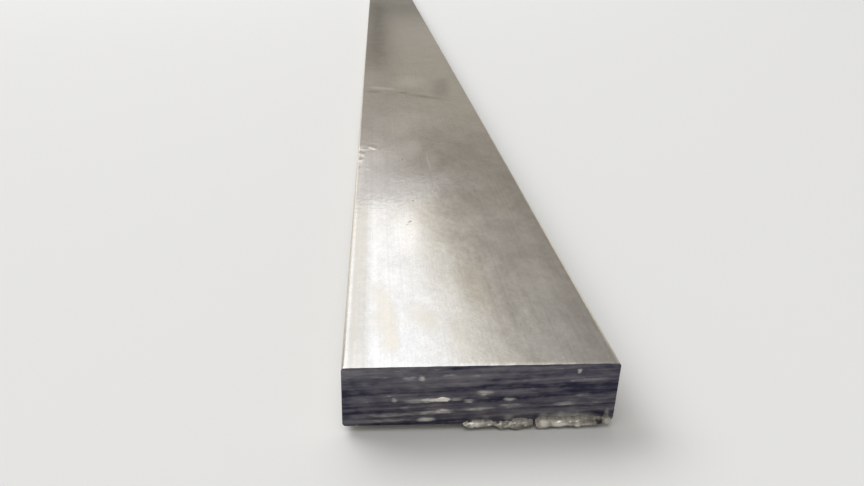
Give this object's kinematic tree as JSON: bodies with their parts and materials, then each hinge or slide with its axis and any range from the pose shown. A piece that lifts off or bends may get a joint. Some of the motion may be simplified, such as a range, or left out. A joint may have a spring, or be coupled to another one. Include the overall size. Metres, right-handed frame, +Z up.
{
  "type": "steel flat bar",
  "caption": "Length of bright steel flat bar with slightly rounded long edges and sawn ends, the near end with a ragged burr along its lower edge.",
  "frame": {"origin": "on the floor under the middle of the bar, level with the lowest tip of the burr", "axes": "+Y along the bar, from the sawn end with the burr to the far end; +X across its width; +Z up, through its thickness"},
  "size_m": [0.0254, 0.9149, 0.0071],
  "materials": {
    "bare_steel": "satin, as drawn, with fine lines along the bar"
  },
  "bodies": {
    "root": {"flat_bar": "bare_steel"}
  },
  "joints": []
}
